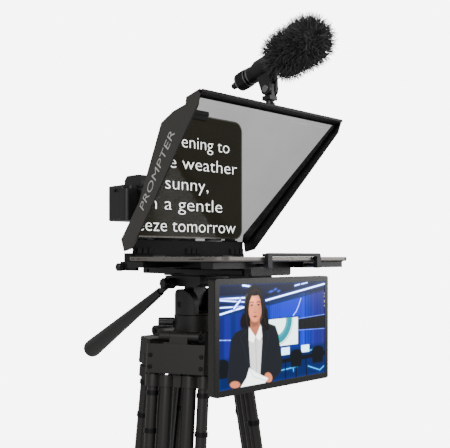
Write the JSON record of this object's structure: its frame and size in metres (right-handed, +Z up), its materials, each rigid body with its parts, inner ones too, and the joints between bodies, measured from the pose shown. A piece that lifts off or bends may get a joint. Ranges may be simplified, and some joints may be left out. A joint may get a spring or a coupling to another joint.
{
  "type": "teleprompter",
  "caption": "Studio teleprompter: tablet under a 45 degree beam-splitter hood, camera behind it, talent monitor below and microphone on top, on a fluid head and twin-tube tripod.",
  "frame": {"origin": "on the floor, under the middle of the whole rig's width and depth", "axes": "+X right as the presenter sees the rig, +Y back from the presenter towards the camera, +Z up"},
  "size_m": [0.4524, 0.5324, 1.5784],
  "materials": {
    "black_anodised": "satin black anodised aluminium",
    "black_plastic": "matte black plastic",
    "hood_skin": "satin warm dark grey sheet",
    "matte_black_sheet": "matte black light-proof sheet",
    "black_rubber": "matte black rubber",
    "tripod_paint": "warm black satin paint",
    "tablet_alloy": "bead-blasted bronze-grey aluminium",
    "tablet_glass": "black cover glass with white prompter text",
    "mirror_glass": "70/30 beam splitter glass",
    "lens_glass": "coated lens glass",
    "monitor_paint": "dark olive-grey paint",
    "monitor_screen": "lit LCD panel",
    "camera_shell": "black leather-grain magnesium shell",
    "grey_steel": "brushed steel",
    "foam_fur": "long black and grey fur over foam",
    "mic_metal": "black microphone tube"
  },
  "bodies": {
    "tripod": {"tripod_crown": "tripod_paint", "crown_hinge_pins": "grey_steel", "pan_base": "tripod_paint"},
    "bowl_knob": {"bowl_clamp_knob": "black_plastic"},
    "pan_lock": {"pan_lock_knob": "black_plastic"},
    "head": {"head_yoke": "tripod_paint", "tilt_shaft": "grey_steel"},
    "tilt_lock": {"tilt_lock_knob": "black_plastic"},
    "platform": {"tilt_platform": "tripod_paint"},
    "handle": {"pan_handle_rod": "black_anodised", "pan_handle_grip": "black_rubber"},
    "handle_lock": {"handle_clamp_screw": "black_plastic"},
    "deck": {"sled_plate": "black_anodised", "nose_block": "black_plastic", "tray_frame": "black_anodised", "tray_pads": "black_rubber", "camera_rail": "black_anodised", "monitor_arm": "black_anodised", "tablet_body": "tablet_alloy", "tablet_display": "tablet_glass"},
    "jaw": {"clamp_jaw": "black_plastic"},
    "camera": {"camera_riser": "black_anodised", "camera_body": "camera_shell", "lens_barrel": "black_anodised", "lens_front_element": "lens_glass"},
    "focus": {"focus_ring": "black_rubber"},
    "shutter": {"shutter_button": "black_plastic"},
    "dial": {"mode_dial": "black_plastic"},
    "hood": {"hood_side_panels": "hood_skin", "hood_roof": "hood_skin", "hood_back_cover": "matte_black_sheet", "hood_top_lip": "black_plastic", "beam_splitter_glass": "mirror_glass", "glass_side_strips": "black_plastic", "glass_sill": "black_plastic", "sill_tabs": "black_plastic", "lens_sleeve": "black_rubber", "mic_stud": "black_anodised"},
    "pivot_left": {"hood_pivot_knob_left": "black_plastic"},
    "pivot_right": {"hood_pivot_knob_right": "black_plastic"},
    "microphone": {"mic_clip": "black_plastic", "mic_body": "mic_metal", "mic_wind_muff": "foam_fur"},
    "monitor": {"monitor_shell": "monitor_paint", "monitor_bezel": "black_plastic", "monitor_panel": "monitor_screen", "monitor_mount_plate": "black_anodised", "monitor_screws": "grey_steel"},
    "leg_front_left_upper_stage": {"leg_front_left_upper": "tripod_paint"},
    "leg_front_left_middle_stage": {"leg_front_left_middle": "tripod_paint"},
    "leg_front_left_lower_stage": {"leg_front_left_lower": "tripod_paint", "leg_front_left_foot": "black_rubber"},
    "leg_front_right_upper_stage": {"leg_front_right_upper": "tripod_paint"},
    "leg_front_right_middle_stage": {"leg_front_right_middle": "tripod_paint"},
    "leg_front_right_lower_stage": {"leg_front_right_lower": "tripod_paint", "leg_front_right_foot": "black_rubber"},
    "leg_rear_upper_stage": {"leg_rear_upper": "tripod_paint"},
    "leg_rear_middle_stage": {"leg_rear_middle": "tripod_paint"},
    "leg_rear_lower_stage": {"leg_rear_lower": "tripod_paint", "leg_rear_foot": "black_rubber"}
  },
  "joints": [
    {"name": "pan", "type": "hinge", "parent": "tripod", "child": "head", "pos_m": [0, 0.0075, 1.15], "axis": [0, 0, 1], "continuous": true},
    {"name": "tilt", "type": "hinge", "parent": "head", "child": "platform", "pos_m": [0, 0.0075, 1.172], "axis": [1, 0, 0], "range_deg": [-9, 9]},
    {"name": "handle_angle", "type": "hinge", "parent": "platform", "child": "handle", "pos_m": [-0.046, 0.0155, 1.207], "axis": [1, 0, 0], "range_deg": [-5, 30]},
    {"name": "handle_lock_turn", "type": "hinge", "parent": "platform", "child": "handle_lock", "pos_m": [-0.055, 0.0155, 1.207], "axis": [1, 0, 0], "range_deg": [-90, 90]},
    {"name": "tilt_lock_turn", "type": "hinge", "parent": "head", "child": "tilt_lock", "pos_m": [0.04, 0.0075, 1.172], "axis": [1, 0, 0], "range_deg": [-90, 90]},
    {"name": "pan_lock_turn", "type": "hinge", "parent": "tripod", "child": "pan_lock", "pos_m": [-0.03291, 0.03819, 1.141], "axis": [-0.7314, 0.682, 0], "range_deg": [-90, 90]},
    {"name": "bowl_clamp_turn", "type": "hinge", "parent": "tripod", "child": "bowl_knob", "pos_m": [0, 0.0075, 1.06], "axis": [0, 0, 1], "continuous": true},
    {"name": "plate_slide", "type": "slide", "parent": "platform", "child": "deck", "axis": [0, 1, 0], "range_m": [-0.02, 0.02]},
    {"name": "tablet_clamp_slide", "type": "slide", "parent": "deck", "child": "jaw", "axis": [0, -1, 0], "range_m": [0, 0.04]},
    {"name": "camera_slide", "type": "slide", "parent": "deck", "child": "camera", "axis": [0, 1, 0], "range_m": [0, 0.012]},
    {"name": "focus_turn", "type": "hinge", "parent": "camera", "child": "focus", "pos_m": [0, 0.0975, 1.348], "axis": [0, 1, 0], "range_deg": [-90, 90]},
    {"name": "shutter_press", "type": "slide", "parent": "camera", "child": "shutter", "axis": [0, 0, -1], "range_m": [0, 0.0015], "stiffness_N_per_m": 600},
    {"name": "mode_dial_turn", "type": "hinge", "parent": "camera", "child": "dial", "pos_m": [0.04, 0.1595, 1.38], "axis": [0, 0, 1], "continuous": true},
    {"name": "hood_tilt", "type": "hinge", "parent": "deck", "child": "hood", "pos_m": [0, 0.0305, 1.234], "axis": [1, 0, 0], "range_deg": [0, 6]},
    {"name": "pivot_left_turn", "type": "hinge", "parent": "deck", "child": "pivot_left", "pos_m": [-0.134, 0.0305, 1.234], "axis": [1, 0, 0], "range_deg": [-90, 90]},
    {"name": "pivot_right_turn", "type": "hinge", "parent": "deck", "child": "pivot_right", "pos_m": [0.134, 0.0305, 1.234], "axis": [1, 0, 0], "range_deg": [-90, 90]},
    {"name": "mic_tilt", "type": "hinge", "parent": "hood", "child": "microphone", "pos_m": [0, -0.1635, 1.498], "axis": [1, 0, 0], "range_deg": [-20, 25]},
    {"name": "monitor_tilt", "type": "hinge", "parent": "deck", "child": "monitor", "pos_m": [0, -0.1415, 1.18], "axis": [1, 0, 0], "range_deg": [0, 8]},
    {"name": "leg_front_left_spread", "type": "hinge", "parent": "tripod", "child": "leg_front_left_upper_stage", "pos_m": [-0.05889, -0.0265, 1.124], "axis": [-0.5, 0.866, 0], "range_deg": [-8, 0]},
    {"name": "leg_front_left_middle_slide", "type": "slide", "parent": "leg_front_left_upper_stage", "child": "leg_front_left_middle_stage", "axis": [-0.128, -0.0739, -0.989], "range_m": [0, 0.44]},
    {"name": "leg_front_left_lower_slide", "type": "slide", "parent": "leg_front_left_middle_stage", "child": "leg_front_left_lower_stage", "axis": [-0.128, -0.0739, -0.989], "range_m": [-0.38, 0.13]},
    {"name": "leg_front_right_spread", "type": "hinge", "parent": "tripod", "child": "leg_front_right_upper_stage", "pos_m": [0.05889, -0.0265, 1.124], "axis": [-0.5, -0.866, 0], "range_deg": [-8, 0]},
    {"name": "leg_front_right_middle_slide", "type": "slide", "parent": "leg_front_right_upper_stage", "child": "leg_front_right_middle_stage", "axis": [0.128, -0.0739, -0.989], "range_m": [0, 0.44]},
    {"name": "leg_front_right_lower_slide", "type": "slide", "parent": "leg_front_right_middle_stage", "child": "leg_front_right_lower_stage", "axis": [0.128, -0.0739, -0.989], "range_m": [-0.38, 0.13]},
    {"name": "leg_rear_spread", "type": "hinge", "parent": "tripod", "child": "leg_rear_upper_stage", "pos_m": [0, 0.0755, 1.124], "axis": [1, 0, 0], "range_deg": [-8, 0]},
    {"name": "leg_rear_middle_slide", "type": "slide", "parent": "leg_rear_upper_stage", "child": "leg_rear_middle_stage", "axis": [0, 0.1478, -0.989], "range_m": [0, 0.44]},
    {"name": "leg_rear_lower_slide", "type": "slide", "parent": "leg_rear_middle_stage", "child": "leg_rear_lower_stage", "axis": [0, 0.1478, -0.989], "range_m": [-0.38, 0.13]}
  ]
}
